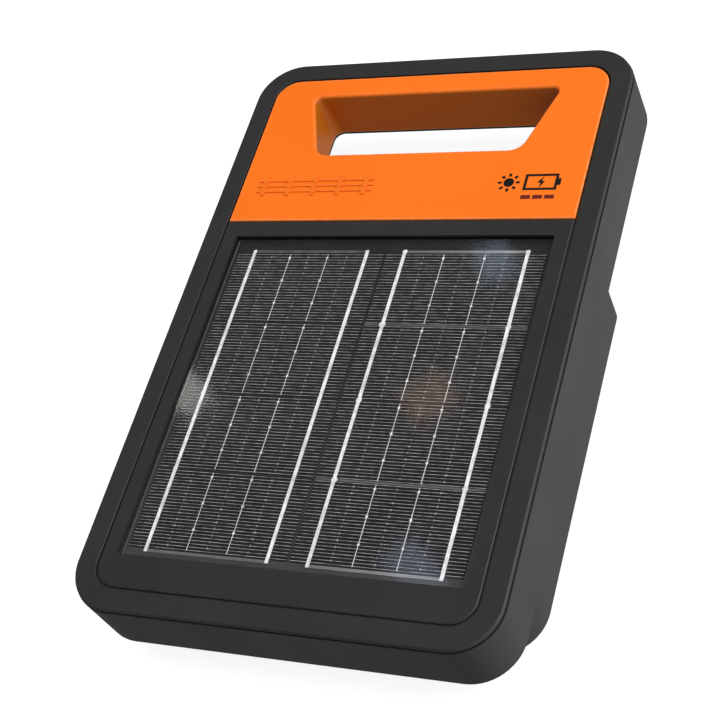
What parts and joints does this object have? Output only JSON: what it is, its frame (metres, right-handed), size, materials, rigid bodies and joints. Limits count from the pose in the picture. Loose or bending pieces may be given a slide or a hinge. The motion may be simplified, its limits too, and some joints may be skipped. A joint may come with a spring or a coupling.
{
  "type": "solar fence energizer",
  "caption": "Flat portable solar fence energizer with a recessed solar panel, an orange front with a hand opening, and a deep rear battery compartment.",
  "frame": {"origin": "under the middle of the unit, on the plane of the rear compartment's back face", "axes": "+X to the right seen from the front, +Y towards the carry handle, +Z out of the front face"},
  "size_m": [0.1966, 0.3054, 0.052],
  "materials": {
    "black_housing": "fine-grained black moulding",
    "black_bezel": "fine-grained black moulding",
    "orange_fascia": "satin orange moulding",
    "seal_rubber": "soft black rubber",
    "screw_steel": "zinc-plated steel",
    "panel_glass": "clear low-iron glass",
    "cell_silicon": "dark coated silicon",
    "tinned_ribbon": "tinned copper ribbon",
    "backsheet": "black backsheet",
    "foam": "closed-cell foam",
    "black_component": "moulded component body",
    "white_component": "natural nylon",
    "carrier_plastic": "dark grey moulding",
    "battery_wrap": "shrink-wrapped cell",
    "nickel": "nickel-plated strip",
    "board_laminate": "green solder mask",
    "ferrite": "sintered ferrite",
    "winding_copper": "enamelled copper wire",
    "capacitor_case": "potted film-capacitor box",
    "button_rubber": "soft grey button",
    "clear_lens": "clear light guide",
    "stainless": "stainless steel",
    "brass_metal": "turned brass",
    "red_knob": "red moulded knob",
    "green_knob": "green moulded knob",
    "lead_red": "red insulation",
    "lead_green": "green insulation",
    "lead_black": "black insulation"
  },
  "bodies": {
    "root": {"front_rim": "black_housing", "panel_bezel": "black_bezel", "handle_fascia": "orange_fascia", "rear_housing": "black_housing", "housing_seal": "seal_rubber", "housing_screws": "screw_steel", "solar_glass": "panel_glass", "solar_cells": "cell_silicon", "cell_ribbons": "tinned_ribbon", "bus_strips": "tinned_ribbon", "solar_backsheet": "backsheet", "panel_gasket": "foam", "panel_junction": "black_component", "battery_cover": "black_housing", "cover_seal": "seal_rubber", "cover_screws": "screw_steel", "battery_pad": "foam", "battery_carrier": "carrier_plastic", "battery_cells": "battery_wrap", "battery_links": "nickel", "circuit_board": "board_laminate", "board_screws": "screw_steel", "transformer_core": "ferrite", "transformer_winding": "winding_copper", "transformer_feet": "black_component", "storage_capacitor": "capacitor_case", "charge_inductor": "ferrite", "power_thyristor": "black_component", "thyristor_tab": "nickel", "control_chip": "black_component", "board_sockets": "white_component", "power_switch": "black_component", "button_ring": "seal_rubber", "light_pipe": "clear_lens", "indicator_lamp": "clear_lens", "vent_plug": "black_component", "panel_lead": "lead_black", "battery_lead": "lead_red", "fence_stud": "stainless", "fence_stud_seal": "seal_rubber", "fence_lug": "brass_metal", "fence_wire": "lead_red", "earth_stud": "stainless", "earth_stud_seal": "seal_rubber", "earth_lug": "brass_metal", "earth_wire": "lead_green"},
    "fence_clamp": {"fence_washer": "stainless"},
    "fence_turn": {"fence_knob": "red_knob", "fence_knob_insert": "brass_metal"},
    "earth_clamp": {"earth_washer": "stainless"},
    "earth_turn": {"earth_knob": "green_knob", "earth_knob_insert": "brass_metal"},
    "button": {"power_button": "button_rubber", "switch_plunger": "white_component"}
  },
  "joints": [
    {"name": "fence_knob_rise", "type": "slide", "parent": "root", "child": "fence_clamp", "axis": [0, 0, -1], "range_m": [0, 0.004]},
    {"name": "fence_knob_turn", "type": "hinge", "parent": "fence_clamp", "child": "fence_turn", "pos_m": [-0.066, 0.062, 0.0188], "axis": [0, 0, -1], "range_deg": [0, 1440.01]},
    {"name": "earth_knob_rise", "type": "slide", "parent": "root", "child": "earth_clamp", "axis": [0, 0, -1], "range_m": [0, 0.004]},
    {"name": "earth_knob_turn", "type": "hinge", "parent": "earth_clamp", "child": "earth_turn", "pos_m": [0.066, 0.062, 0.0188], "axis": [0, 0, -1], "range_deg": [0, 1440.01]},
    {"name": "button_press", "type": "slide", "parent": "root", "child": "button", "axis": [0, 0, 1], "range_m": [0, 0.0012], "stiffness_N_per_m": 900, "springref_m": -0.0005}
  ],
  "couplings": [
    {"joint": "fence_knob_turn", "follows": "fence_knob_rise", "rad_per_m": 6283.2},
    {"joint": "earth_knob_turn", "follows": "earth_knob_rise", "rad_per_m": 6283.2}
  ]
}
